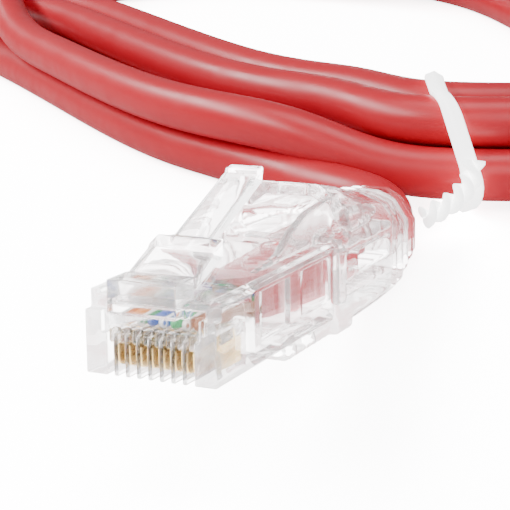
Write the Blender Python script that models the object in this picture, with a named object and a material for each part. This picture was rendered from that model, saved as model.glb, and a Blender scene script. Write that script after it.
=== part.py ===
"""Ethernet patch cable: a round jacketed cable wound into an oval coil, with a clear 8P8C
modular plug and a clear snagless boot on each end, held by a twist tie.

Lengths are written in millimetres and become metres when a mesh is made. A plug is built once
in its own frame: X across, Y from the nose back along the cable, Z up, origin at the bottom of
the nose. Both ends share its meshes, and hang on the empties plug_a and plug_b.
"""
import bisect
import math

import bmesh
import bpy
from mathutils import Euler, Vector

MM = 0.001

# --- cable -----------------------------------------------------------------------------
CABLE_D = 6.0
CONDUCTOR_D = 0.86
CONDUCTORS = 8
PITCH = 1.02

# --- plug housing ----------------------------------------------------------------------
PLUG_W = 11.68
PLUG_L = 23.1
TOP_Z = 6.35
RAIL_Z = 6.75
RAIL_W = 0.94
NOSE_Z = 5.25
SHOULDER_BACK = 0.95
ROOT_W = 6.1
ROOT_FRONT = -1.2
ROOT_BACK = 1.9
ROOT_Z = (5.4, 8.15)
SLOT_W = 0.62
SLOT_L = 7.2
ROW_Z = 4.45
CHANNEL_HALF_W = 4.35
CHANNEL_Z = (3.7, 5.75)
CAVITY_HALF_W = 4.7
CAVITY_Z = (0.75, 6.05)
CAVITY_FRONT = 7.9
POCKETS_Y = ((8.1, 13.6), (16.2, 22.3))
POCKET_Z = (1.9, 5.9)
POCKET_DEEP = 0.5
CLAMP_Y = (13.4, 16.4)
FAN_Y = (7.8, 12.3)
JACKET_FRONT = 12.6

# --- latch -----------------------------------------------------------------------------
HINGE_Y = 1.9
HINGE_Z = 7.4
CATCH_W = 6.1
LEVER_W = 3.3

# --- boot ------------------------------------------------------------------------------
BOOT_FRONT = 23.4
BOOT_SHELL = 26.2
BOOT_END = 48.0
BORE_R = 3.3
AXIS_Z = 3.2

# --- where the pieces lie --------------------------------------------------------------
GAP = 0.3
PLUG_A_AT = (0.0, -24.55, 9.17)
PLUG_A_TILT = -10.0
PLUG_B_AT = (-23.0, 154.0, 15.3)
PLUG_B_TURN = 90.0
# Guide points of the oval coil's middle line, seen from above.
LOOP = [
    (3.0, 45.6), (15.8, 48.8), (24.4, 59.8), (22.8, 75.2), (14.5, 92.5), (5.5, 110.0), (-5.0, 127.5),
    (-19.0, 144.5), (-40.0, 155.5), (-63.0, 159.8), (-88.0, 160.3), (-107.0, 156.0), (-119.0, 143.0),
    (-120.0, 125.5), (-110.0, 109.0), (-91.0, 94.6), (-70.5, 79.5), (-50.5, 64.0), (-32.5, 52.2),
    (-15.0, 46.8),
]
LOOP_STATIONS = 96
COIL_W = 20.4
COIL_H = 12.4
COIL_CORNER = 3.0
# Free stretches of the cable: from boot a to the coil's near side, and from its top to boot b.
LEAD_A = [(0.0, 24.56, 3.76), (-0.1, 27.6, 3.3), (-1.1, 31.2, 3.0), (-3.6, 34.2, 3.0)]
LEAD_B = [
    (-72.3, 154.0, 18.5), (-78.6, 154.3, 18.3), (-85.5, 155.8, 17.3), (-93.0, 156.3, 16.1),
    (-101.4, 154.2, 15.8), (-109.0, 149.6, 15.8), (-114.4, 142.6, 15.8), (-116.8, 134.2, 15.8),
    (-116.6, 125.6, 15.8),
]
LEAD_STEP = 5.0

# --- tie -------------------------------------------------------------------------------
TIE_AT = 0.002        # share of the way round
TIED_W = 18.6
TIE_WIDE = 3.0
TIE_THICK = 0.9
TIE_LIFT = 1.3        # the stiff bundle stands this far off the surface at the tie
TIE_REACH = 34.0
TAIL_R = 1.1

JACKET_COLORS = {
    "white_orange": (0.86, 0.70, 0.58), "orange": (0.80, 0.30, 0.08),
    "white_green": (0.70, 0.82, 0.70), "blue": (0.06, 0.14, 0.42),
    "white_blue": (0.66, 0.70, 0.84), "green": (0.05, 0.38, 0.14),
    "white_brown": (0.78, 0.68, 0.60), "brown": (0.34, 0.14, 0.07),
}


# --- shapes ----------------------------------------------------------------------------
def material(name, color, roughness=0.4, metallic=0.0, alpha=1.0):
    made = bpy.data.materials.get(name) or bpy.data.materials.new(name)
    made.use_nodes = True
    shader = made.node_tree.nodes["Principled BSDF"]
    shader.inputs["Base Color"].default_value = (*color, 1.0)
    shader.inputs["Roughness"].default_value = roughness
    shader.inputs["Metallic"].default_value = metallic
    shader.inputs["Alpha"].default_value = alpha
    return made


def mesh_from(bm, name):
    bmesh.ops.recalc_face_normals(bm, faces=bm.faces)
    mesh = bpy.data.meshes.new(name)
    bm.to_mesh(mesh)
    bm.free()
    return mesh


def box(x, y, z):
    """A box from three (low, high) pairs, in millimetres."""
    bm = bmesh.new()
    bmesh.ops.create_cube(bm, size=1.0)
    for v in bm.verts:
        v.co = Vector([(low + high) / 2 + c * (high - low) for c, (low, high) in zip(v.co, (x, y, z))]) * MM
    return mesh_from(bm, "box")


def extruded(outline, x):
    """A (y, z) outline in millimetres, carried across from x[0] to x[1]."""
    bm = bmesh.new()
    face = bm.faces.new([bm.verts.new(Vector((x[0], y, z)) * MM) for y, z in outline])
    grown = bmesh.ops.extrude_face_region(bm, geom=[face])["geom"]
    shift = Vector((x[1] - x[0], 0.0, 0.0)) * MM
    bmesh.ops.translate(bm, vec=shift, verts=[g for g in grown if isinstance(g, bmesh.types.BMVert)])
    return mesh_from(bm, "extruded")


def lofted(rings, closed=False):
    """Rings of as many points each, in millimetres, joined side by side; open ends are filled."""
    bm = bmesh.new()
    rows = [[bm.verts.new(Vector(p) * MM) for p in ring] for ring in rings]
    pairs = list(zip(rows, rows[1:])) + ([(rows[-1], rows[0])] if closed else [])
    for first, second in pairs:
        for i in range(len(first)):
            k = (i + 1) % len(first)
            bm.faces.new((first[i], first[k], second[k], second[i]))
    if not closed:
        bm.faces.new(reversed(rows[0]))
        bm.faces.new(rows[-1])
    return mesh_from(bm, "lofted")


def ring(y, center_z, half_w, half_h, steps=20):
    """An upright oval at y."""
    angles = [2 * math.pi * i / steps for i in range(steps)]
    return [(half_w * math.cos(a), y, center_z + half_h * math.sin(a)) for a in angles]


def tube(points, radius, sides=8):
    """A round bar along points, in millimetres, with flat ends."""
    path = [Vector(p) for p in points]
    rings = []
    for i, p in enumerate(path):
        along = (path[min(i + 1, len(path) - 1)] - path[max(i - 1, 0)]).normalized()
        side = along.cross(Vector((0.0, 0.0, 1.0))).normalized()
        up = side.cross(along)
        turns = [2 * math.pi * k / sides for k in range(sides)]
        rings.append([p + (side * math.cos(t) + up * math.sin(t)) * radius for t in turns])
    return lofted(rings)


def combine(base, others, operation):
    """The base mesh with each of the others joined to it or cut from it, as a new mesh."""
    kept = bpy.data.objects.new("base", base)
    bpy.context.collection.objects.link(kept)
    helpers = []
    for mesh in others:
        helper = bpy.data.objects.new("helper", mesh)
        bpy.context.collection.objects.link(helper)
        helpers.append(helper)
        boolean = kept.modifiers.new("boolean", "BOOLEAN")
        boolean.operation = operation
        boolean.object = helper
    bpy.context.view_layer.update()
    result = bpy.data.meshes.new_from_object(kept.evaluated_get(bpy.context.evaluated_depsgraph_get()))
    for helper in helpers:
        bpy.data.objects.remove(helper)
    bpy.data.objects.remove(kept)
    return result


def joined(base, *others):
    return combine(base, others, "UNION")


def cut(base, *cutters):
    return combine(base, cutters, "DIFFERENCE")


def smooth(mesh, angle=35.0):
    mesh.shade_smooth()
    mesh.set_sharp_from_angle(angle=math.radians(angle))
    return mesh


def mirrored(x):
    """The same (low, high) pair on each side of the middle."""
    return (x, (-x[1], -x[0]))


# --- plug pieces -----------------------------------------------------------------------
def contact_x(i):
    return PITCH * (i - (CONDUCTORS - 1) / 2)


def housing_mesh():
    half = PLUG_W / 2
    inner = half - RAIL_W
    body = joined(
        box((-half, half), (0.0, PLUG_L), (0.0, TOP_Z)),
        *[box(x, (0.0, PLUG_L), (TOP_Z - 1.0, RAIL_Z)) for x in mirrored((inner, half))],
        box((-ROOT_W / 2, ROOT_W / 2), (ROOT_FRONT, ROOT_BACK), ROOT_Z),
    )
    beside_root = mirrored((ROOT_W / 2 + 0.3, half + 1.0))
    shoulders = [box(x, (-1.0, SHOULDER_BACK), (NOSE_Z, 8.0)) for x in beside_root]
    window = box((-CHANNEL_HALF_W, CHANNEL_HALF_W), (-1.0, 0.6), (3.5, NOSE_Z))
    slots = [
        box((x - SLOT_W / 2, x + SLOT_W / 2), (-1.0, SLOT_L), (-1.0, CHANNEL_Z[0] + 0.1))
        for x in map(contact_x, range(CONDUCTORS))
    ]
    channel = box((-CHANNEL_HALF_W, CHANNEL_HALF_W), (1.3, CAVITY_FRONT + 1.0), CHANNEL_Z)
    cavity = box((-CAVITY_HALF_W, CAVITY_HALF_W), (CAVITY_FRONT, PLUG_L + 1.0), CAVITY_Z)
    clamp_way = box((-4.0, 4.0), CLAMP_Y, (-1.0, CAVITY_Z[0] + 0.1))
    pockets = [
        box(x, y, POCKET_Z) for y in POCKETS_Y for x in mirrored((half - POCKET_DEEP, half + 1.0))
    ]
    return cut(body, *shoulders, window, *slots, channel, cavity, clamp_way, *pockets)


def latch_mesh():
    """Arm with catch and release lever, its origin on the living hinge."""
    arm = [(2.2, 7.0), (7.0, 8.75), (7.0, 10.2), (5.6, 9.75), (5.3, 9.4), (2.2, 8.1)]
    lever = [(6.0, 8.6), (17.3, 13.25), (17.6, 14.5), (16.6, 14.35), (16.4, 13.95), (6.0, 9.65)]
    arm, lever = ([(y - HINGE_Y, z - HINGE_Z) for y, z in outline] for outline in (arm, lever))
    return joined(
        extruded(arm, (-CATCH_W / 2, CATCH_W / 2)),
        extruded(lever, (-LEVER_W / 2, LEVER_W / 2)),
    )


def contact_mesh():
    """One blade: two tines up towards the conductor, a rounded nose below."""
    outline = [
        (0.8, 1.3), (1.0, 0.8), (1.5, 0.6), (6.6, 0.6), (6.6, 2.6), (5.7, 2.6), (5.4, 3.6), (5.1, 2.6),
        (3.3, 2.6), (3.0, 3.6), (2.7, 2.6), (0.8, 2.4),
    ]
    return extruded(outline, (-0.175, 0.175))


def ease(share):
    """0 to 1 with a gentle start and end."""
    share = min(1.0, max(0.0, share))
    return share * share * (3 - 2 * share)


def conductor_route(i):
    """From the flat row at the nose back into the round cable: apart in height, then inwards."""
    row_x = contact_x(i)
    core_x = row_x * 0.54
    core_z = AXIS_Z + (0.7 if i % 2 else -0.7)
    first, last = FAN_Y
    points = [(row_x, 1.6, ROW_Z), (row_x, 5.0, ROW_Z)]
    steps = 8
    for k in range(steps + 1):
        share = k / steps
        x = row_x + (core_x - row_x) * ease((share - 0.3) / 0.7)
        z = ROW_Z + (core_z - ROW_Z) * ease(share / 0.7)
        points.append((x, first + (last - first) * share, z))
    return points + [(core_x, JACKET_FRONT + 1.0, core_z)]


def load_bar_mesh():
    return box((-4.05, 4.05), (2.8, 6.8), (5.2, 5.5))


def pair_spline_mesh():
    """The cross that keeps the four pairs apart, inside the jacket."""
    arm = 0.15
    reach = 2.1
    y = (JACKET_FRONT + 1.4, JACKET_FRONT + 4.0)
    upright = box((-arm, arm), y, (AXIS_Z - reach, AXIS_Z + reach))
    return joined(upright, box((-reach, reach), y, (AXIS_Z - arm, AXIS_Z + arm)))


def cable_clamp_mesh():
    return extruded([(13.7, 0.05), (16.1, 0.05), (15.9, 0.4), (14.9, 0.6), (13.9, 0.4)], (-3.7, 3.7))


def jacket_end_mesh():
    """Pressed oval in the plug, round in the boot, hollow where the conductors come out."""
    sections = [(JACKET_FRONT, 3.3, 2.3), (22.0, 3.3, 2.3), (26.0, 3.0, 3.0), (BOOT_END + 1.0, 3.0, 3.0)]
    outside = lofted([ring(y, AXIS_Z + 0.15 if h < 3 else AXIS_Z, w, h) for y, w, h in sections])
    hollow = lofted([ring(y, AXIS_Z, 2.7, 1.95, 16) for y in (JACKET_FRONT - 1.0, JACKET_FRONT + 1.2)])
    spline_room = lofted([ring(y, AXIS_Z, 2.3, 2.3, 16) for y in (JACKET_FRONT + 1.1, JACKET_FRONT + 4.3)])
    return cut(cut(outside, hollow), spline_room)


def boot_section(y, half_w, low, wall, shoulder, crest, chamfer=1.2):
    """One upright outline of the boot: floor, side walls, sloping shoulders and flat crest."""
    right = [(half_w - chamfer, low), (half_w, low + chamfer), (half_w, wall), shoulder, crest]
    points = right + [(-x, z) for x, z in reversed(right)]
    return [(x, y, z) for x, z in points]


def boot_round(y, radius, steps=10):
    """The round tail, with as many points as boot_section gives."""
    angles = [math.radians(-54 + 36 * i) for i in range(steps // 2)]
    right = [(radius * math.cos(a), AXIS_Z + radius * math.sin(a)) for a in angles]
    right[-1] = (radius * 0.31, AXIS_Z + radius * 0.95)
    points = right + [(-x, z) for x, z in reversed(right)]
    return [(x, y, z) for x, z in points]


def boot_sections(inset=0.0, start=BOOT_SHELL, end=BOOT_END):
    """Outer sections of the boot behind its flange, or the same shape set inwards."""
    t = inset
    return [
        boot_section(start, 6.1 - t, -1.6 + t, 8.0 - t, (5.7 - t, 9.8 - t), (2.9 - t, 11.7 - t)),
        boot_section(31.0, 6.1 - t, -1.6 + t, 7.7 - t, (5.3 - t, 9.2 - t), (2.7 - t, 10.7 - t)),
        boot_section(36.0, 6.0 - t, -1.5 + t, 6.9 - t, (4.9 - t, 8.4 - t), (2.5 - t, 9.4 - t)),
        boot_section(41.0, 5.7 - t, -1.5 + t, 5.9 - t, (4.5 - t, 7.7 - t), (2.2 - t, 8.6 - t)),
        boot_round(end, 5.0 - t),
    ]


def boot_mesh():
    shell = lofted(boot_sections())
    flange = box((-6.1, 6.1), (BOOT_FRONT, BOOT_SHELL + 1.0), (-1.6, 6.95))
    ramp = [(9.0, 7.05), (13.8, 7.8), (16.0, 9.15), (19.4, 10.4), (26.6, 11.0), (26.6, 7.05)]
    ramps = [extruded(ramp, x) for x in mirrored((4.1, 4.85))]
    sill = [box(x, (22.0, 26.6), (7.05, 7.6)) for x in mirrored((3.6, 5.6))]
    tongue = box((-5.4, 5.4), (13.8, BOOT_SHELL + 0.6), (-1.6, -GAP))
    body = joined(shell, flange, *ramps, *sill, tongue)
    bore = lofted([ring(y, AXIS_Z, BORE_R, BORE_R) for y in (BOOT_FRONT - 1.0, BOOT_END + 1.0)])
    throat = box((-4.9, 4.9), (BOOT_FRONT - 1.0, 27.0), (0.6, 5.9))
    hood = lofted([
        boot_section(25.0, 5.1, 7.0, 7.6, (4.7, 9.0), (2.4, 10.7), 0.2),
        boot_section(31.0, 5.0, 7.0, 7.3, (4.4, 8.4), (2.1, 9.7), 0.2),
        boot_section(36.0, 4.4, 6.9, 7.15, (3.6, 7.6), (1.7, 8.3), 0.1),
    ])
    side_slots = [box(x, (28.6, 37.0), (3.4, 5.2)) for x in mirrored((3.0, 8.0))]
    windows = [box(x, y, (-3.0, 0.5)) for x in mirrored((2.6, 4.4)) for y in ((15.2, 17.2), (19.2, 21.2))]
    hood_slot = box((-1.6, 1.6), (27.2, 28.2), (9.0, 13.0))
    return cut(body, bore, throat, hood, *side_slots, *windows, hood_slot)


# --- coil and tie ----------------------------------------------------------------------
def loop_curve(samples=12):
    """Points of the closed smooth curve that the guide points shape, and the way gone at each."""
    guides = [Vector(p) for p in LOOP]
    curve = []
    for i in range(len(guides)):
        p, q, r, s = (guides[(i + k) % len(guides)] for k in (-1, 0, 1, 2))
        for k in range(samples):
            t = k / samples
            curve.append((
                p * (1 - t) ** 3 + q * (3 * t ** 3 - 6 * t * t + 4)
                + r * (-3 * t ** 3 + 3 * t * t + 3 * t + 1) + s * t ** 3
            ) / 6)
    gone = [0.0]
    for p, q in zip(curve, curve[1:] + curve[:1]):
        gone.append(gone[-1] + (q - p).length)
    return curve, gone


def loop_point(loop, share):
    """A point of the coil's middle line, share running evenly from 0 to 1 once around."""
    curve, gone = loop
    want = (share % 1.0) * gone[-1]
    i = bisect.bisect_right(gone, want) - 1
    p, q = curve[i % len(curve)], curve[(i + 1) % len(curve)]
    return p.lerp(q, (want - gone[i]) / (gone[i + 1] - gone[i]))


def loop_frame(loop, share):
    """The middle line's point there and the way out of the coil, both flat."""
    along = (loop_point(loop, share + 0.002) - loop_point(loop, share - 0.002)).normalized()
    return loop_point(loop, share), Vector((along.y, -along.x))


def near_tie(loop, share):
    """1 at the tie, easing to 0 along the coil on both sides."""
    away = min((share - TIE_AT) % 1.0, (TIE_AT - share) % 1.0) * loop[1][-1]
    return 1.0 - ease(away / TIE_REACH)


def rounded_section(half_w, low, high, corner):
    """(out, z) points of a rectangle with rounded corners."""
    middle = (low + high) / 2
    half_h = (high - low) / 2
    points = []
    for sx, sz, first in ((1, -1, -90), (1, 1, 0), (-1, 1, 90), (-1, -1, 180)):
        for k in range(3):
            a = math.radians(first + 45 * k)
            out = sx * (half_w - corner) + corner * math.cos(a)
            points.append((out, middle + sz * (half_h - corner) + corner * math.sin(a)))
    return points


def coil_mesh():
    """The outer shape of all the turns together, drawn in and lifted at the tie."""
    loop = loop_curve()
    rings = []
    for i in range(LOOP_STATIONS):
        share = i / LOOP_STATIONS
        middle, outwards = loop_frame(loop, share)
        near = near_tie(loop, share)
        half_w = (COIL_W + (TIED_W - COIL_W) * near) / 2
        section = rounded_section(half_w, TIE_LIFT * near, COIL_H + TIE_LIFT * near, COIL_CORNER)
        rings.append([(*(middle + outwards * out), z) for out, z in section])
    return lofted(rings, closed=True)


def tie_mesh():
    """A flat band around the coil, and its twisted ends on the outer side."""
    middle, outwards = loop_frame(loop_curve(), TIE_AT)
    along = Vector((-outwards.y, outwards.x))
    bands = []
    for grow, half in ((GAP, TIE_WIDE), (GAP + TIE_THICK, TIE_WIDE / 2)):
        section = rounded_section(
            TIED_W / 2 + grow, TIE_LIFT - grow, TIE_LIFT + COIL_H + grow, COIL_CORNER + grow
        )
        bands.append(lofted([
            [(*(middle + outwards * out + along * shift), z) for out, z in section]
            for shift in (-half, half)
        ]))
    foot = middle + outwards * (TIED_W / 2 + GAP + TIE_THICK / 2)
    tail = [
        (*foot, TIE_LIFT + 4.0),
        (*(foot + outwards * 3.0 + along * 0.5), TIE_LIFT + 3.6),
        (*(foot + outwards * 5.4 + along * 2.2), TIE_LIFT + 1.8),
    ]
    return joined(cut(bands[1], bands[0]), tube(tail, TAIL_R))


# --- leads -----------------------------------------------------------------------------
def smooth_route(points, step):
    """A smooth curve through hand-set points, read off about every step millimetres."""
    route = [Vector(p) for p in points]
    padded = [route[0] * 2 - route[1], *route, route[-1] * 2 - route[-2]]
    out = []
    for i in range(1, len(padded) - 2):
        p0, p1, p2, p3 = padded[i - 1:i + 3]
        count = max(1, round((p2 - p1).length / step))
        for k in range(count):
            t = k / count
            out.append(0.5 * (
                2 * p1 + (p2 - p0) * t + (2 * p0 - 5 * p1 + 4 * p2 - p3) * t * t
                + (3 * p1 - p0 - 3 * p2 + p3) * t ** 3
            ))
    return out + [route[-1]]


def lead(name, points, coat):
    """A stretch of free cable as a round curve with filled ends."""
    curve = bpy.data.curves.new(name, "CURVE")
    curve.dimensions = "3D"
    curve.bevel_depth = CABLE_D / 2 * MM
    curve.bevel_resolution = 3
    curve.render_resolution_u = 0
    curve.use_fill_caps = True
    spline = curve.splines.new("POLY")
    route = smooth_route(points, LEAD_STEP)
    spline.points.add(len(route) - 1)
    for point, p in zip(spline.points, route):
        point.co = (*(p * MM), 1.0)
    curve.materials.append(coat)
    made = bpy.data.objects.new(name, curve)
    bpy.context.collection.objects.link(made)
    return made


# --- assembly --------------------------------------------------------------------------
def place(name, mesh, coat, parent=None, at=(0.0, 0.0, 0.0)):
    made = bpy.data.objects.new(name, mesh)
    if not mesh.materials:
        mesh.materials.append(coat)
    made.parent = parent
    made.location = Vector(at) * MM
    bpy.context.collection.objects.link(made)
    return made


def plug_meshes():
    return {
        "plug_housing": housing_mesh(),
        "latch": latch_mesh(),
        "load_bar": load_bar_mesh(),
        "pair_spline": pair_spline_mesh(),
        "cable_clamp": cable_clamp_mesh(),
        "jacket_end": smooth(jacket_end_mesh()),
        "boot": smooth(boot_mesh()),
        "contact": contact_mesh(),
    }


def build_plug(end, meshes, coats, at, turn):
    base = bpy.data.objects.new(f"plug_{end}", None)
    base.location = Vector(at) * MM
    base.rotation_euler = Euler([math.radians(a) for a in turn])
    bpy.context.collection.objects.link(base)
    clear = ("plug_housing", "latch", "load_bar", "cable_clamp", "boot")
    for name in (*clear, "pair_spline", "jacket_end"):
        at_piece = (0.0, HINGE_Y, HINGE_Z) if name == "latch" else (0.0, 0.0, 0.0)
        coat = coats["clear"] if name in clear else coats["jacket" if name == "jacket_end" else "spline"]
        place(f"{name}_{end}", meshes[name], coat, base, at_piece)
    for i, color in enumerate(JACKET_COLORS):
        place(f"contact_{end}_{i + 1}", meshes["contact"], coats["gold"], base, (contact_x(i), 0.0, 0.0))
        place(f"conductor_{end}_{i + 1}", meshes[f"conductor_{i}"], coats[color], base)


def main():
    for old in list(bpy.data.objects):
        bpy.data.objects.remove(old)
    coats = {name: material(name, color, 0.35) for name, color in JACKET_COLORS.items()}
    coats["clear"] = material("clear_polycarbonate", (0.95, 0.96, 0.96), 0.06, alpha=0.35)
    coats["jacket"] = material("red_pvc", (0.62, 0.08, 0.07), 0.38)
    coats["spline"] = material("spline_polyethylene", (0.88, 0.88, 0.86), 0.5)
    coats["gold"] = material("gold_plate", (0.83, 0.62, 0.22), 0.2, metallic=1.0)
    coats["tie"] = material("tie_plastic", (0.92, 0.92, 0.90), 0.35)
    meshes = plug_meshes()
    for i in range(CONDUCTORS):
        meshes[f"conductor_{i}"] = smooth(tube(conductor_route(i), CONDUCTOR_D / 2))
    tilt = (PLUG_A_TILT, 0.0, 0.0)
    build_plug("a", meshes, coats, PLUG_A_AT, tilt)
    build_plug("b", meshes, coats, PLUG_B_AT, (0.0, 0.0, PLUG_B_TURN))
    lead("cable_lead_a", LEAD_A, coats["jacket"])
    lead("cable_lead_b", LEAD_B, coats["jacket"])
    place("cable_coil", smooth(coil_mesh()), coats["jacket"])
    place("twist_tie", tie_mesh(), coats["tie"])


main()
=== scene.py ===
import bisect
import math

import bmesh
import bpy
from mathutils import Matrix, Vector

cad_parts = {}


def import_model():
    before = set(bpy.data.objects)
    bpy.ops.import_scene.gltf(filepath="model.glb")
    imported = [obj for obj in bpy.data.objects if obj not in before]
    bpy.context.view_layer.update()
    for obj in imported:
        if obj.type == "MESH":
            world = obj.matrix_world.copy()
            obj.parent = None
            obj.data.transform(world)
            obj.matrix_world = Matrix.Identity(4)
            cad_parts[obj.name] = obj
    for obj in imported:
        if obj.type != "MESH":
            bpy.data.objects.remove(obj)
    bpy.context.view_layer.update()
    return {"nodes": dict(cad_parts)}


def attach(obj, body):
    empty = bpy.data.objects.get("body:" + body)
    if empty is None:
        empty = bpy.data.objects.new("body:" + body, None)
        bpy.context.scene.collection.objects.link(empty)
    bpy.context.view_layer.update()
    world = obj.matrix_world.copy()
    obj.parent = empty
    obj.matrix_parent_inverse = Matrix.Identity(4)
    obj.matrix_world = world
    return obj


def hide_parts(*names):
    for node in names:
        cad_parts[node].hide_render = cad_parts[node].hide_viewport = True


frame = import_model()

MM = 0.001

# The plugs' own frames, as in the CAD: X across, Y from the nose back, Z up, origin under the nose.
PLUGS = {
    end: Matrix.Translation(Vector(at) * MM) @ Matrix.Rotation(math.radians(turn), 4, axis)
    for end, at, turn, axis in (
        ("a", (0.0, -24.55, 9.17), -10.0, "X"),
        ("b", (-23.0, 154.0, 15.3), 90.0, "Z"),
    )
}

# How bright the floor and the dome are to each kind of ray, in the order of by_ray's arguments.
FLOOR_WHITE = (5.5, 0.3, 0.8, 0.8, 0.8)
FLOOR_GLOW = (5.0, 0.15, 18.0, 4.4, 0.0)
DOME = (26.0, 0.35, 24.0, 4.0, 0.22)


# --- camera ----------------------------------------------------------------------------
# In the near plug's own frame: degrees, millimetres, and the lens for a 36 mm wide sensor.
VIEW_AZIMUTH, VIEW_ELEVATION, VIEW_ROLL = 25.92, 12.28, -0.64
VIEW_TARGET, VIEW_DISTANCE = (-4.55, 28.32, 4.0), 141.08
SENSOR_WIDTH, LENS = 36.0, 103.97


def camera():
    """Looks at the near plug from its front right corner, a little from above."""
    azimuth, elevation, roll = (math.radians(x) for x in (VIEW_AZIMUTH, VIEW_ELEVATION, VIEW_ROLL))
    target, distance = Vector(VIEW_TARGET) * MM, VIEW_DISTANCE * MM
    back = Vector((
        math.sin(azimuth) * math.cos(elevation),
        -math.cos(azimuth) * math.cos(elevation),
        math.sin(elevation),
    ))
    flat = Vector((math.cos(azimuth), math.sin(azimuth), 0.0))
    upright = back.cross(flat)
    right = flat * math.cos(roll) + upright * math.sin(roll)
    up = upright * math.cos(roll) - flat * math.sin(roll)
    turn = Matrix((right, up, back)).transposed().to_4x4()
    data = bpy.data.cameras.new("camera")
    data.sensor_width = SENSOR_WIDTH
    data.lens = LENS
    data.clip_start = 0.005
    data.clip_end = 30.0
    made = bpy.data.objects.new("camera", data)
    bpy.context.collection.objects.link(made)
    made.matrix_world = PLUGS["a"] @ Matrix.Translation(target + back * distance) @ turn
    bpy.context.scene.camera = made


# --- the cable's route -----------------------------------------------------------------
CABLE_R = 3.0
# Seen from above: the guide points of the oval coil's middle line, starting at the tie. The curve
# passes near them.
LOOP = [
    (3.0, 45.6), (15.8, 48.8), (24.4, 59.8), (22.8, 75.2), (14.5, 92.5), (5.5, 110.0),
    (-5.0, 127.5), (-19.0, 144.5), (-40.0, 155.5), (-63.0, 159.8), (-88.0, 160.3),
    (-107.0, 156.0), (-119.0, 143.0), (-120.0, 125.5), (-110.0, 109.0), (-91.0, 94.6),
    (-70.5, 79.5), (-50.5, 64.0), (-32.5, 52.2), (-15.0, 46.8),
]
# The leads' guide points: out of boot a towards the first turn, and off the last turn to boot b.
LEAD_A = [
    (0.0, 24.56, 3.76), (-0.1, 27.6, 3.3), (-1.3, 31.6, 3.0), (-4.6, 35.0, 3.0), (-9.4, 37.0, 3.0),
    (-14.8, 38.9, 3.0),
]
LEAD_B = [
    (-116.6, 125.6, 15.8), (-116.8, 134.2, 15.8), (-114.4, 142.6, 15.8), (-109.0, 149.6, 15.8),
    (-101.4, 154.2, 15.8), (-93.0, 156.3, 16.1), (-85.5, 155.8, 17.3), (-78.6, 154.3, 18.3),
    (-72.3, 154.0, 18.5),
]
# Shares of the way round the middle line, which starts at the tie.
JOINS_AT = 0.940      # the lead from boot a becomes the first turn
LEAVES_AT = 0.655     # the last turn has climbed on to the coil
# Where the turns lie, as (out from the middle line, height), first turn first.
NEAR_SLOTS = [(5.2, 3.0), (-1.2, 3.0), (-7.6, 3.0), (-10.4, 8.9), (-4.3, 9.2), (6.2, 8.8)]
TIED_SLOTS = [(5.2, 3.0), (-1.0, 3.0), (-7.2, 3.0), (-4.4, 8.3), (1.7, 8.3), (5.2, 3.1)]
FAR_SLOTS = [(6.2, 3.0), (0.0, 3.0), (-6.2, 3.0), (-6.1, 8.9), (0.0, 9.0), (6.3, 8.9)]
TOP_SLOT = (-1.0, 15.2)
# Shares of the way round where the places change from one list to the next, as (first, last).
TIED_TO_FAR, FAR_TO_NEAR, NEAR_TO_TIED = (0.06, 0.20), (0.64, 0.76), (0.942, 0.988)
NEAR_BEYOND, FAR_BEYOND = 0.85, 0.58    # inside the stretches where a turn keeps one place
# Each turn moves on to the next one's place on the far side, the top ones first. The spans are
# parts of the stretch from MOVES_FROM to MOVES_TO, first turn first.
MOVES_FROM, MOVES_TO = 0.54, 0.24
MOVE_SPANS = [(0.60, 1.0), (0.45, 0.9), (0.28, 0.78), (0.12, 0.62), (0.0, 0.5)]
THIRD_BULGE = 2.6     # how far the third turn swings inwards as it climbs on to the second layer
CLIMBS_FROM, CLIMB_SPAN, CLIMB_HUMP = 0.775, 0.11, 1.5    # the last turn, on its way up to TOP_SLOT
TIE_LIFT, TIE_REACH = 1.3, 34.0    # the tie holds the bundle that high, felt that far along it
FIRST_AT, STEPS_A_TURN = 0.012, 40
ROUTE_STEP, ROUTE_ROUNDS = 2.0, 8  # the finished route's spacing, and how often it is softened


def ease(x):
    x = min(1.0, max(0.0, x))
    return x * x * (3.0 - 2.0 * x)


def eased(x, span):
    first, last = span
    return ease((x - first) / (last - first))


def mix(a, b, t):
    return tuple(x + (y - x) * t for x, y in zip(a, b))


def loop_curve(samples=40):
    """The closed B-spline of the guide points, and how far along it each of its points is."""
    guides = [Vector(p) for p in LOOP]
    curve = []
    for i in range(len(guides)):
        a, b, c, d = (guides[(i + k) % len(guides)] for k in (-1, 0, 1, 2))
        for k in range(samples):
            t = k / samples
            curve.append((
                a * (1 - t) ** 3 + b * (3 * t ** 3 - 6 * t * t + 4)
                + c * (-3 * t ** 3 + 3 * t * t + 3 * t + 1) + d * t ** 3
            ) / 6)
    gone = [0.0]
    for p, q in zip(curve, curve[1:] + curve[:1]):
        gone.append(gone[-1] + (q - p).length)
    return curve, gone


CURVE, GONE = loop_curve()


def loop_point(share):
    """The middle line's point at that share of the way round."""
    want = (share % 1.0) * GONE[-1]
    i = bisect.bisect_right(GONE, want) - 1
    a, b = CURVE[i % len(CURVE)], CURVE[(i + 1) % len(CURVE)]
    return a.lerp(b, (want - GONE[i]) / (GONE[i + 1] - GONE[i]))


def loop_frame(share):
    """The middle line's point there and the direction straight out of the coil."""
    along = (loop_point(share + 0.004) - loop_point(share - 0.004)).normalized()
    return loop_point(share), Vector((along.y, -along.x))


def place(slot, share):
    """Where a turn lies: drawn together by the tie, open on the near side, stacked on the far."""
    near, tied, far = NEAR_SLOTS[slot], TIED_SLOTS[slot], FAR_SLOTS[slot]
    if share > NEAR_BEYOND:
        return mix(near, tied, eased(share, NEAR_TO_TIED))
    if share > FAR_BEYOND:
        return mix(far, near, eased(share, FAR_TO_NEAR))
    return mix(tied, far, eased(share, TIED_TO_FAR))


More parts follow.
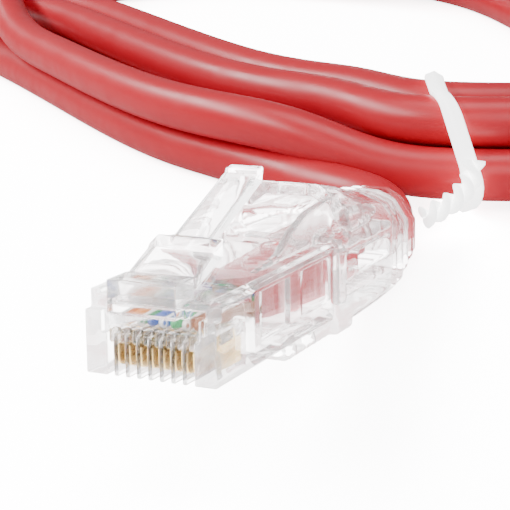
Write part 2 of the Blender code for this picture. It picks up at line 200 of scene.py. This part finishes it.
def coil_point(progress):
    """The cable's middle after so many turns, clockwise seen from above."""
    turn = int(progress)
    share = JOINS_AT - (progress - turn)
    moved = (MOVES_FROM - share) / (MOVES_FROM - MOVES_TO)
    t = eased(moved, MOVE_SPANS[min(turn, 4)])
    share %= 1.0
    here, there = place(turn, share), place(min(turn + 1, 5), share)
    out, z = mix(here, there, t)
    if turn == 2:
        out -= THIRD_BULGE * math.sin(math.pi * t)
    if turn == 5:
        climbed = ease((CLIMBS_FROM - share) / CLIMB_SPAN)
        out, z = mix(here, TOP_SLOT, climbed)
        z += CLIMB_HUMP * math.sin(math.pi * climbed)
    middle, outwards = loop_frame(share)
    away = min(share, 1.0 - share) * GONE[-1]
    under = turn == 0 and share > 0.5
    lift = 0.0 if under else TIE_LIFT * (1.0 - ease(away / TIE_REACH))
    return Vector((*(middle + outwards * out), z + lift))


def cable_route():
    """The guide points of the cable's middle line, from boot a to boot b, in millimetres."""
    turns = 5.0 + JOINS_AT - LEAVES_AT
    steps = round(turns * STEPS_A_TURN)
    route = [Vector(p) for p in LEAD_A]
    route += [coil_point(FIRST_AT + (turns - FIRST_AT) * i / steps) for i in range(steps + 1)]
    return route + [Vector(p) for p in LEAD_B]


def resampled(points, step, split=6):
    """The smooth curve through points, read off at even steps."""
    padded = [points[0] * 2 - points[1], *points, points[-1] * 2 - points[-2]]
    fine = []
    for a, b, c, d in zip(padded, padded[1:], padded[2:], padded[3:]):
        for k in range(split):
            t = k / split
            fine.append(0.5 * (
                2 * b + (c - a) * t + (2 * a - 5 * b + 4 * c - d) * t * t
                + (3 * b - a - 3 * c + d) * t ** 3
            ))
    fine.append(points[-1])
    gone = [0.0]
    for a, b in zip(fine, fine[1:]):
        gone.append(gone[-1] + (b - a).length)
    count = round(gone[-1] / step)
    even, j = [], 0
    for i in range(count + 1):
        want = gone[-1] * i / count
        while j < len(gone) - 2 and gone[j + 1] < want:
            j += 1
        even.append(fine[j].lerp(fine[j + 1], min(1.0, (want - gone[j]) / (gone[j + 1] - gone[j]))))
    return even


def softened(points, rounds):
    """Evens out the bends; the first two points and the last one stay."""
    for _ in range(rounds):
        inner = [(a + b * 2 + c) / 4 for a, b, c in zip(points[1:], points[2:], points[3:])]
        points = [*points[:2], *inner, points[-1]]
    return points


# --- materials -------------------------------------------------------------------------
# The Mix node's sockets for numbers and for colours share their names, so they go by place.
NUMBER_A, NUMBER_B, NUMBER_OUT = 2, 3, 0
COLOR_A, COLOR_B, COLOR_OUT = 6, 7, 2


class Coat:
    """A Principled material and short ways to wire procedural detail into it."""

    def __init__(self, name, glow=0.0, **values):
        self.made = bpy.data.materials.new(name)
        self.made.use_nodes = True
        self.tree = self.made.node_tree
        self.shader = self.tree.nodes["Principled BSDF"]
        self.out = self.tree.nodes["Material Output"]
        for socket, value in values.items():
            self.shader.inputs[socket.replace("_", " ")].default_value = value
        if glow:
            self.shader.inputs["Emission Color"].default_value = (1.0, 1.0, 1.0, 1.0)
            self.shader.inputs["Emission Strength"].default_value = glow

    def node(self, kind, **values):
        made = self.tree.nodes.new(kind)
        for key, value in values.items():
            if hasattr(made, key):
                setattr(made, key, value)
            else:
                made.inputs[key.replace("_", " ")].default_value = value
        return made

    def link(self, source, target):
        self.tree.links.new(source, target)

    def noise(self, scale, detail=3.0, stretch=(1.0, 1.0, 1.0)):
        """Noise in the piece's own metres."""
        where = self.node("ShaderNodeTexCoord")
        mapping = self.node("ShaderNodeMapping", Scale=stretch)
        made = self.node("ShaderNodeTexNoise", Scale=scale, Detail=detail)
        self.link(where.outputs["Object"], mapping.inputs["Vector"])
        self.link(mapping.outputs["Vector"], made.inputs["Vector"])
        return made.outputs["Fac"]

    def ranged(self, source, low, high, a=0.3, b=0.7):
        """From low to high where the source goes from a to b."""
        made = self.node("ShaderNodeMapRange", From_Min=a, From_Max=b, To_Min=low, To_Max=high)
        self.link(source, made.inputs["Value"])
        return made.outputs["Result"]

    def rough(self, source, low, high):
        self.link(self.ranged(source, low, high), self.shader.inputs["Roughness"])

    def bumped(self, height, depth):
        """Relief of that depth in metres."""
        bump = self.node("ShaderNodeBump", Strength=1.0, Distance=depth)
        self.link(height, bump.inputs["Height"])
        self.link(bump.outputs["Normal"], self.shader.inputs["Normal"])

    def tinted(self, source, dark, light):
        """From dark to light as the source goes from 0 to 1."""
        blend = self.node("ShaderNodeMix", data_type="RGBA")
        blend.inputs[COLOR_A].default_value = (*dark, 1.0)
        blend.inputs[COLOR_B].default_value = (*light, 1.0)
        self.link(source, blend.inputs["Factor"])
        self.link(blend.outputs[COLOR_OUT], self.shader.inputs["Base Color"])

    def lets_light_through(self, clarity):
        """That share of what is seen passes straight through, and nearly all of the light does."""
        path = self.node("ShaderNodeLightPath")
        share = self.node("ShaderNodeMapRange", To_Min=clarity)
        clear = self.node("ShaderNodeBsdfTransparent", Color=(0.97, 0.97, 0.97, 1.0))
        mixed = self.node("ShaderNodeMixShader")
        self.link(path.outputs["Is Shadow Ray"], share.inputs["Value"])
        self.link(share.outputs[0], mixed.inputs[0])
        self.link(self.shader.outputs[0], mixed.inputs[1])
        self.link(clear.outputs[0], mixed.inputs[2])
        self.link(mixed.outputs[0], self.out.inputs["Surface"])


def clear_coat(name, roughness, ripple):
    """Moulded clear plastic with a faint ripple and the slightest warm tint."""
    coat = Coat(name, Transmission_Weight=1.0, IOR=1.26)
    coat.tinted(coat.noise(160.0), (0.985, 0.96, 0.96), (0.998, 0.99, 0.99))
    coat.rough(coat.noise(900.0), roughness * 0.6, roughness * 1.6)
    coat.bumped(coat.noise(220.0, 2.0), ripple)
    coat.lets_light_through(0.15)
    return coat.made


def milky_glowing_coat():
    """Stands in for clear plastic crowded with fine moulded faces: half clear, with a painted glow
    so that it reads as white.
    """
    # The glow of 0.9 is painted light: the part is no lamp.
    coat = Coat("milky_glowing_plastic", glow=0.9, Transmission_Weight=0.35, IOR=1.35)
    coat.tinted(coat.noise(300.0), (0.90, 0.91, 0.91), (0.97, 0.97, 0.97))
    coat.rough(coat.noise(900.0), 0.25, 0.45)
    return coat.made


def jacket_coat():
    """Satin PVC over twisted pairs: broad soft waves and a little drift of colour and gloss."""
    coat = Coat("red_jacket", Specular_IOR_Level=0.45)
    coat.tinted(coat.noise(40.0, 4.0), (0.40, 0.004, 0.014), (0.50, 0.008, 0.020))
    coat.rough(coat.noise(250.0), 0.30, 0.42)
    coat.bumped(coat.noise(45.0, 0.0), 0.0003)
    return coat.made


def gold_coat():
    """Gold plating, brushed along the blade."""
    coat = Coat("gold_contact", Metallic=1.0)
    coat.tinted(coat.noise(500.0), (0.72, 0.48, 0.17), (0.88, 0.66, 0.30))
    coat.rough(coat.noise(1500.0, 4.0, (1.0, 0.15, 1.0)), 0.16, 0.36)
    coat.bumped(coat.noise(3000.0, 2.0, (1.0, 0.1, 1.0)), 0.00002)
    return coat.made


def copper_coat():
    coat = Coat("copper_core", Metallic=1.0)
    coat.tinted(coat.noise(900.0), (0.62, 0.26, 0.13), (0.86, 0.44, 0.26))
    coat.rough(coat.noise(2500.0), 0.25, 0.45)
    return coat.made


def plastic_coat(name, color, roughness=0.38, spread=0.08, subsurface=0.0, glow=0.0):
    coat = Coat(name, glow, Subsurface_Weight=subsurface)
    coat.shader.inputs["Subsurface Radius"].default_value = (0.002, 0.002, 0.002)
    dark = tuple(c * (1.0 - spread) for c in color)
    coat.tinted(coat.noise(300.0), dark, color)
    coat.rough(coat.noise(900.0), roughness * 0.8, roughness * 1.25)
    coat.bumped(coat.noise(1400.0), 0.00003)
    return coat.made


# T568B order, as (base, stripe).
INSULATION = [
    ((0.86, 0.82, 0.78), (0.80, 0.24, 0.04)), ((0.82, 0.27, 0.05), None),
    ((0.84, 0.86, 0.82), (0.05, 0.36, 0.12)), ((0.05, 0.11, 0.42), None),
    ((0.82, 0.84, 0.88), (0.06, 0.14, 0.46)), ((0.04, 0.36, 0.12), None),
    ((0.86, 0.82, 0.78), (0.33, 0.13, 0.06)), ((0.33, 0.12, 0.05), None),
]


def wire_coat(number):
    """Glossy polyethylene insulation; every other one is pale, striped where it faces world X."""
    base, stripe = INSULATION[number]
    if stripe is None:
        return plastic_coat(f"insulation_{number + 1}", base, 0.3)
    coat = Coat(f"insulation_{number + 1}")
    where = coat.node("ShaderNodeNewGeometry")
    split = coat.node("ShaderNodeSeparateXYZ")
    coat.link(where.outputs["Normal"], split.inputs[0])
    band = coat.ranged(split.outputs[0], 0.0, 1.0, 0.45, 0.55)
    coat.tinted(band, base, stripe)
    coat.rough(coat.noise(900.0), 0.24, 0.4)
    return coat.made


def coats():
    made = {
        "clear": clear_coat("clear_plastic", 0.03, 0.00006),
        "boot": clear_coat("clear_boot", 0.07, 0.00012),
        "milky": milky_glowing_coat(),
        "jacket": jacket_coat(),
        "gold": gold_coat(),
        "copper": copper_coat(),
        "spline": plastic_coat("spline_plastic", (0.86, 0.86, 0.84), 0.45, subsurface=0.3),
        # It glows so that it stays white in front of the dome.
        "tie": plastic_coat(
            "tie_plastic", (0.90, 0.90, 0.89), 0.32, 0.03, subsurface=0.2, glow=3.0,
        ),
    }
    for number in range(len(INSULATION)):
        made[f"wire_{number + 1}"] = wire_coat(number)
    return made


# --- meshes ----------------------------------------------------------------------------
# In millimetres, in the plug's own frame.
AXIS_Z, BORE_R = 3.2, 3.3
RIDGES_Y, RIDGE_PITCH, RIDGE_DEEP = (36.5, 48.0), 2.3, 0.24
RIDGES_RISE, RIDGES_FALL = 3.0, 0.8    # the rings come up over the first and end over the second
WALL = 0.5                             # nearer the bore than this nothing is moved
CONDUCTOR_R, CORE_R, CORE_PROUD = 0.43, 0.26, 0.15
CONTACTS, SLOT_PITCH = 8, 1.02
WEB_Y, WEB_Z, WEB_SIZE, WEB_EDGE = 3.6, 3.2, (0.6, 6.6, 1.1), 0.12
SAME_POINT = 2e-6                      # metres; CAD corners closer than this are one


def linked(name, mesh, looks, body, *nodes):
    """A piece in those materials, riding on its body and standing in for those CAD nodes."""
    mesh.materials.clear()
    for look in looks:
        mesh.materials.append(look)
    made = bpy.data.objects.new(name, mesh)
    bpy.context.collection.objects.link(made)
    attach(made, body)
    if nodes:
        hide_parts(*nodes)
    return made


def baked(mesh, *modifiers):
    """The mesh with those (kind, settings) modifiers applied."""
    made = bpy.data.objects.new("work", mesh)
    bpy.context.collection.objects.link(made)
    for kind, settings in modifiers:
        modifier = made.modifiers.new(kind.lower(), kind)
        for key, value in settings.items():
            setattr(modifier, key, value)
    settled = made.evaluated_get(bpy.context.evaluated_depsgraph_get())
    done = bpy.data.meshes.new_from_object(settled)
    bpy.data.objects.remove(made)
    return done


def refined(node, width, segments=3, angle=32.0):
    """The CAD node's mesh with its faces joined up and its edges rounded."""
    bm = bmesh.new()
    bm.from_mesh(frame["nodes"][node].data)
    bmesh.ops.remove_doubles(bm, verts=bm.verts, dist=SAME_POINT)
    mesh = bpy.data.meshes.new(node)
    bm.to_mesh(mesh)
    bm.free()
    mesh.shade_smooth()
    return baked(mesh, ("BEVEL", {
        "width": width * MM, "segments": segments, "limit_method": "ANGLE",
        "angle_limit": math.radians(angle), "use_clamp_overlap": False,
        "harden_normals": True, "miter_outer": "MITER_ARC",
    }))


def moulded(node, grain):
    """The CAD node's mesh as one soft moulding, with every edge rounded by about that grain."""
    return baked(
        frame["nodes"][node].data.copy(),
        ("REMESH", {"mode": "VOXEL", "voxel_size": grain * MM, "use_smooth_shade": True}),
        ("SMOOTH", {"factor": 0.5, "iterations": 5}),
    )


def ridged(mesh, end):
    """Soft rings round the boot's tail, fading out forwards."""
    to_plug = PLUGS[end].inverted()
    for vertex in mesh.vertices:
        p = to_plug @ vertex.co / MM
        spoke = Vector((p.x, 0.0, p.z - AXIS_Z))
        if p.y < RIDGES_Y[0] or spoke.length < BORE_R + WALL:
            continue
        strength = ease((p.y - RIDGES_Y[0]) / RIDGES_RISE) * ease((RIDGES_Y[1] - p.y) / RIDGES_FALL)
        wave = math.sin(math.tau * (p.y - RIDGES_Y[0]) / RIDGE_PITCH)
        p += spoke.normalized() * RIDGE_DEEP * strength * (wave - 1.0)
        vertex.co = PLUGS[end] @ (p * MM)
    return mesh


def bridged(mesh, end):
    """The housing with a web across each contact slot, above the blade, in the milky plastic with
    its painted glow.
    """
    bm = bmesh.new()
    bm.from_mesh(mesh)
    size = Matrix.Diagonal((*(Vector(WEB_SIZE) * MM), 1.0))
    for i in range(CONTACTS):
        middle = Vector((SLOT_PITCH * (i - (CONTACTS - 1) / 2), WEB_Y, WEB_Z)) * MM
        there = PLUGS[end] @ Matrix.Translation(middle) @ size
        web = bmesh.ops.create_cube(bm, size=1.0, matrix=there)
        edges = list({e for v in web["verts"] for e in v.link_edges})
        rounded = bmesh.ops.bevel(bm, geom=edges, offset=WEB_EDGE * MM, segments=3, affect="EDGES")
        for vertex in rounded["verts"]:
            for face in vertex.link_faces:
                # Material 1 is the milky plastic, whose glow is painted light.
                face.material_index = 1
                face.smooth = True
    bm.to_mesh(mesh)
    bm.free()
    return mesh


def cored(node, end):
    """The conductor with its copper core standing a little proud of the cut end."""
    to_plug = PLUGS[end].inverted()
    bm = bmesh.new()
    bm.from_mesh(frame["nodes"][node].data)
    bmesh.ops.remove_doubles(bm, verts=bm.verts, dist=SAME_POINT)
    front = min((to_plug @ v.co).y for v in bm.verts)
    cap = [f for f in bm.faces if all((to_plug @ v.co).y < front + 1e-5 for v in f.verts)]
    bmesh.ops.inset_region(bm, faces=cap, thickness=(CONDUCTOR_R - CORE_R) * MM)
    forward = PLUGS[end].to_3x3() @ Vector((0.0, -CORE_PROUD * MM, 0.0))
    core = bmesh.ops.extrude_face_region(bm, geom=cap)["geom"]
    raised = [v for v in core if isinstance(v, bmesh.types.BMVert)]
    bmesh.ops.translate(bm, verts=raised, vec=forward)
    for face in {f for v in raised for f in v.link_faces}:
        face.material_index = 1
    mesh = bpy.data.meshes.new(node)
    bm.to_mesh(mesh)
    bm.free()
    mesh.shade_smooth()
    mesh.set_sharp_from_angle(angle=math.radians(40))
    return mesh


# --- the tie ---------------------------------------------------------------------------
TIE_AT = 0.992         # a share of the way round the coil
TIE_SLANT = 0.85       # how far it runs along the bundle for each millimetre outwards
TIE_W, TIE_T = 2.5, 0.9
RIB_HIGH, RIB_HALF = 0.35, 0.5    # the rib over its wire
BAND_SIDES, STRAND_SIDES = 24, 12
SQUARENESS = 0.6       # 1 would make the band's section an ellipse, 0 a rectangle
BAND_LEAN = 0.24       # over the top, how far the band's edge leans outwards for each millimetre
# The tied strands that the band touches, and the twisted ends' way as (outwards, along, height).
TIE_ROUND = [(-7.2, 3.0), (5.2, 3.0), (1.7, 8.3), (-4.4, 8.3)]
TIE_TAIL = [(8.7, 7.6, 6.2), (9.6, 7.4, 4.2), (12.2, 6.4, 2.7), (14.6, 4.6, 1.8), (15.6, 3.9, 1.6)]
TAIL_STEP, TWIST_PITCH, TWIST_R, STRAND_R = 0.4, 3.6, 0.62, 0.72


def skinned(bm, rings, closed):
    """Quads between neighbouring rings of points in millimetres; open ends are capped."""
    made = [[bm.verts.new(Vector(p) * MM) for p in ring] for ring in rings]
    for low, high in zip(made, made[1:] + (made[:1] if closed else [])):
        for i, j in zip(range(len(low)), [*range(1, len(low)), 0]):
            bm.faces.new((low[i], low[j], high[j], high[i]))
    if not closed:
        bm.faces.new(made[0][::-1])
        bm.faces.new(made[-1])


def tied_outline(clear, steps=7):
    """Round the tied strands at that distance from their middles, as (outwards, height, facing)."""
    corners = [Vector(p) for p in TIE_ROUND]
    outline = []
    for i, here in enumerate(corners):
        before, after = here - corners[i - 1], corners[(i + 1) % len(corners)] - here
        start = math.atan2(-before.x, before.y)
        turn = (math.atan2(-after.x, after.y) - start) % math.tau
        for k in range(steps + 1):
            facing = start + turn * k / steps
            out, z = here.x + clear * math.cos(facing), here.y + clear * math.sin(facing)
            outline.append((out, z, facing))
    return outline


def band_rings(spot):
    """Sections of the ribbed band, all the way round the bundle."""
    rings = []
    for out, z, facing in tied_outline(CABLE_R + TIE_T / 2):
        shift = out * (TIE_SLANT if out > 0 else TIE_SLANT / 3)
        ring = []
        for k in range(BAND_SIDES):
            angle = math.tau * k / BAND_SIDES
            across = TIE_W / 2 * math.copysign(abs(math.cos(angle)) ** SQUARENESS, math.cos(angle))
            thick = TIE_T / 2 * math.copysign(abs(math.sin(angle)) ** SQUARENESS, math.sin(angle))
            thick += RIB_HIGH * math.exp(-(across / RIB_HALF) ** 2) if thick > 0 else 0.0
            lean = BAND_LEAN * across * max(0.0, math.sin(facing))
            ring.append(spot(
                out + thick * math.cos(facing) + lean, shift + across, z + thick * math.sin(facing)
            ))
        rings.append(ring)
    return rings


def strand_rings(tail, phase):
    """Sections of one of the two ends wound round each other along the tail's points."""
    rings = []
    for i, here in enumerate(tail):
        way = (tail[min(i + 1, len(tail) - 1)] - tail[max(i - 1, 0)]).normalized()
        side = way.cross(Vector((0.0, 0.0, 1.0))).normalized()
        rise = side.cross(way)
        wound = phase + math.tau * i * TAIL_STEP / TWIST_PITCH
        centre = here + (side * math.cos(wound) + rise * math.sin(wound)) * TWIST_R
        ring = []
        for k in range(STRAND_SIDES):
            angle = math.tau * k / STRAND_SIDES
            ring.append(centre + (side * math.cos(angle) + rise * math.sin(angle)) * STRAND_R)
        rings.append(ring)
    return rings


def tie_mesh():
    """A ribbed plastic band slanting round the bundle, and its two ends twisted together."""
    middle, outwards = loop_frame(TIE_AT)
    along = Vector((-outwards.y, outwards.x))

    def spot(out, shift, z):
        return Vector((*(middle + outwards * out + along * shift), z + TIE_LIFT))

    bm = bmesh.new()
    skinned(bm, band_rings(spot), True)
    tail = resampled([spot(*p) for p in TIE_TAIL], TAIL_STEP)
    for phase in (0.0, math.pi):
        skinned(bm, strand_rings(tail, phase), False)
    bmesh.ops.recalc_face_normals(bm, faces=bm.faces)
    mesh = bpy.data.meshes.new("tie")
    bm.to_mesh(mesh)
    bm.free()
    mesh.shade_smooth()
    return mesh


# --- pieces ----------------------------------------------------------------------------
# The radius of each moulding's edges, and the size of the boot's remesh, in millimetres.
EDGES = {"plug_housing": 0.14, "load_bar": 0.06, "cable_clamp": 0.1, "latch": 0.2}
BOOT_GRAIN = 0.22


def cable(coat):
    """The whole cable on its real route, with the far plug and the tie on it."""
    points = softened(resampled(cable_route(), ROUTE_STEP), ROUTE_ROUNDS)
    curve = bpy.data.curves.new("cable", "CURVE")
    curve.dimensions = "3D"
    curve.bevel_depth = CABLE_R * MM
    curve.bevel_resolution = 10
    curve.use_fill_caps = True
    spline = curve.splines.new("POLY")
    spline.points.add(len(points) - 1)
    for point, p in zip(spline.points, points):
        point.co = (*(p * MM), 1.0)
    spline.use_smooth = True
    curve.materials.append(coat)
    made = bpy.data.objects.new("cable", curve)
    bpy.context.collection.objects.link(made)
    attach(made, "cable")
    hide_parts("cable_lead_a", "cable_coil", "cable_lead_b")
    length = sum((q - p).length for p, q in zip(points, points[1:])) * MM


def plug(end, made):
    """Every piece of one plug, which it returns."""
    pieces = []

    def moulding(name, mesh, looks, body="cable"):
        node = f"{name}_{end}"
        piece = linked(f"{node}_moulding", mesh, [made[look] for look in looks], body, node)
        pieces.append(piece)

    edged = {name: refined(f"{name}_{end}", edge) for name, edge in EDGES.items()}
    moulding("plug_housing", bridged(edged["plug_housing"], end), ("clear", "milky"))
    moulding("load_bar", edged["load_bar"], ("clear",))
    moulding("cable_clamp", edged["cable_clamp"], ("clear",))
    moulding("latch", edged["latch"], ("clear",), body=f"latch_{end}")
    moulding("boot", ridged(moulded(f"boot_{end}", BOOT_GRAIN), end), ("boot",))
    for name, coat in (("pair_spline", "spline"), ("jacket_end", "jacket")):
        pieces.append(painted(f"{name}_{end}", made[coat]))
    for i in range(1, CONTACTS + 1):
        pieces.append(painted(f"contact_{end}_{i}", made["gold"]))
        wire = f"conductor_{end}_{i}"
        looks = (made[f"wire_{i}"], made["copper"])
        pieces.append(linked(f"{wire}_cored", cored(wire, end), looks, "cable", wire))
    return pieces


def painted(node, coat):
    """A CAD node with its own finish."""
    made = frame["nodes"][node]
    made.data.materials.clear()
    made.data.materials.append(coat)
    return made


# --- floor and light -------------------------------------------------------------------
# In metres and watts.
FLOOR_HALF, FLOOR_Z = 4.0, -0.0001
# Where each one stands, what it faces, its width and height, and its power.
SOFTBOXES = {
    "left_bank": ((-0.40, -0.06, 0.335), (-0.03, 0.06, 0.0), (0.62, 0.12), 4.0),
    "front_fill": ((0.156, -0.31, 0.375), (-0.02, 0.05, 0.0), (0.5, 0.3), 1.6),
    "overhead": ((-0.05, 0.12, 0.62), (-0.02, 0.05, 0.0), (0.5, 0.3), 2.0),
}


def by_ray(tree, seen, mirrored, through, inside, scattered):
    """A level that depends on the ray's way here: straight from the camera, off a gloss, through
    clear plastic, through it and off its inside, or off a dull surface."""
    path = tree.nodes.new("ShaderNodeLightPath")

    def choose(depth, without, after):
        """The one level with no bounce of that kind so far, the other after one or more."""
        pick = tree.nodes.new("ShaderNodeMix")
        tree.links.new(path.outputs[depth], pick.inputs["Factor"])
        for socket, level in ((pick.inputs[NUMBER_A], without), (pick.inputs[NUMBER_B], after)):
            if isinstance(level, float):
                socket.default_value = level
            else:
                tree.links.new(level, socket)
        return pick.outputs[NUMBER_OUT]

    outside = choose("Glossy Depth", seen, mirrored)
    within = choose("Glossy Depth", through, inside)
    return choose("Diffuse Depth", choose("Transmission Depth", outside, within), scattered)


def floor():
    """A white sweep, lit from below like a light table so that shadows stay faint."""
    bm = bmesh.new()
    bmesh.ops.create_grid(bm, x_segments=1, y_segments=1, size=FLOOR_HALF)
    mesh = bpy.data.meshes.new("floor")
    bm.to_mesh(mesh)
    bm.free()
    made = bpy.data.objects.new("floor", mesh)
    made.location.z = FLOOR_Z
    bpy.context.collection.objects.link(made)
    sheet = bpy.data.materials.new("sweep")
    sheet.use_nodes = True
    tree = sheet.node_tree
    tree.nodes.remove(tree.nodes["Principled BSDF"])
    paper = tree.nodes.new("ShaderNodeBsdfDiffuse")
    glow = tree.nodes.new("ShaderNodeEmission")
    both = tree.nodes.new("ShaderNodeAddShader")
    tree.links.new(by_ray(tree, *FLOOR_WHITE), paper.inputs["Color"])
    tree.links.new(by_ray(tree, *FLOOR_GLOW), glow.inputs["Strength"])
    tree.links.new(paper.outputs[0], both.inputs[0])
    tree.links.new(glow.outputs[0], both.inputs[1])
    tree.links.new(both.outputs[0], tree.nodes["Material Output"].inputs["Surface"])
    mesh.materials.append(sheet)


def world():
    """A white dome: a weak light, blown out where it is seen."""
    made = bpy.data.worlds.new("dome")
    made.use_nodes = True
    tree = made.node_tree
    back = tree.nodes["Background"]
    back.inputs["Color"].default_value = (1.0, 1.0, 1.0, 1.0)
    tree.links.new(by_ray(tree, *DOME), back.inputs["Strength"])
    bpy.context.scene.world = made


def softbox(name, at, aim, size, power):
    """A rectangular area light."""
    data = bpy.data.lights.new(name, "AREA")
    data.shape = "RECTANGLE"
    data.size, data.size_y = size
    data.energy = power
    made = bpy.data.objects.new(name, data)
    bpy.context.collection.objects.link(made)
    made.location = at
    made.rotation_euler = (Vector(aim) - Vector(at)).to_track_quat("-Z", "Y").to_euler()


def build():
    camera()
    made = coats()
    plug("a", made)
    carried = plug("b", made)
    carried.append(linked("tie_band", tie_mesh(), [made["tie"]], "cable", "twist_tie"))
    cable(made["jacket"])
    floor()
    world()
    for name, settings in SOFTBOXES.items():
        softbox(name, *settings)


build()
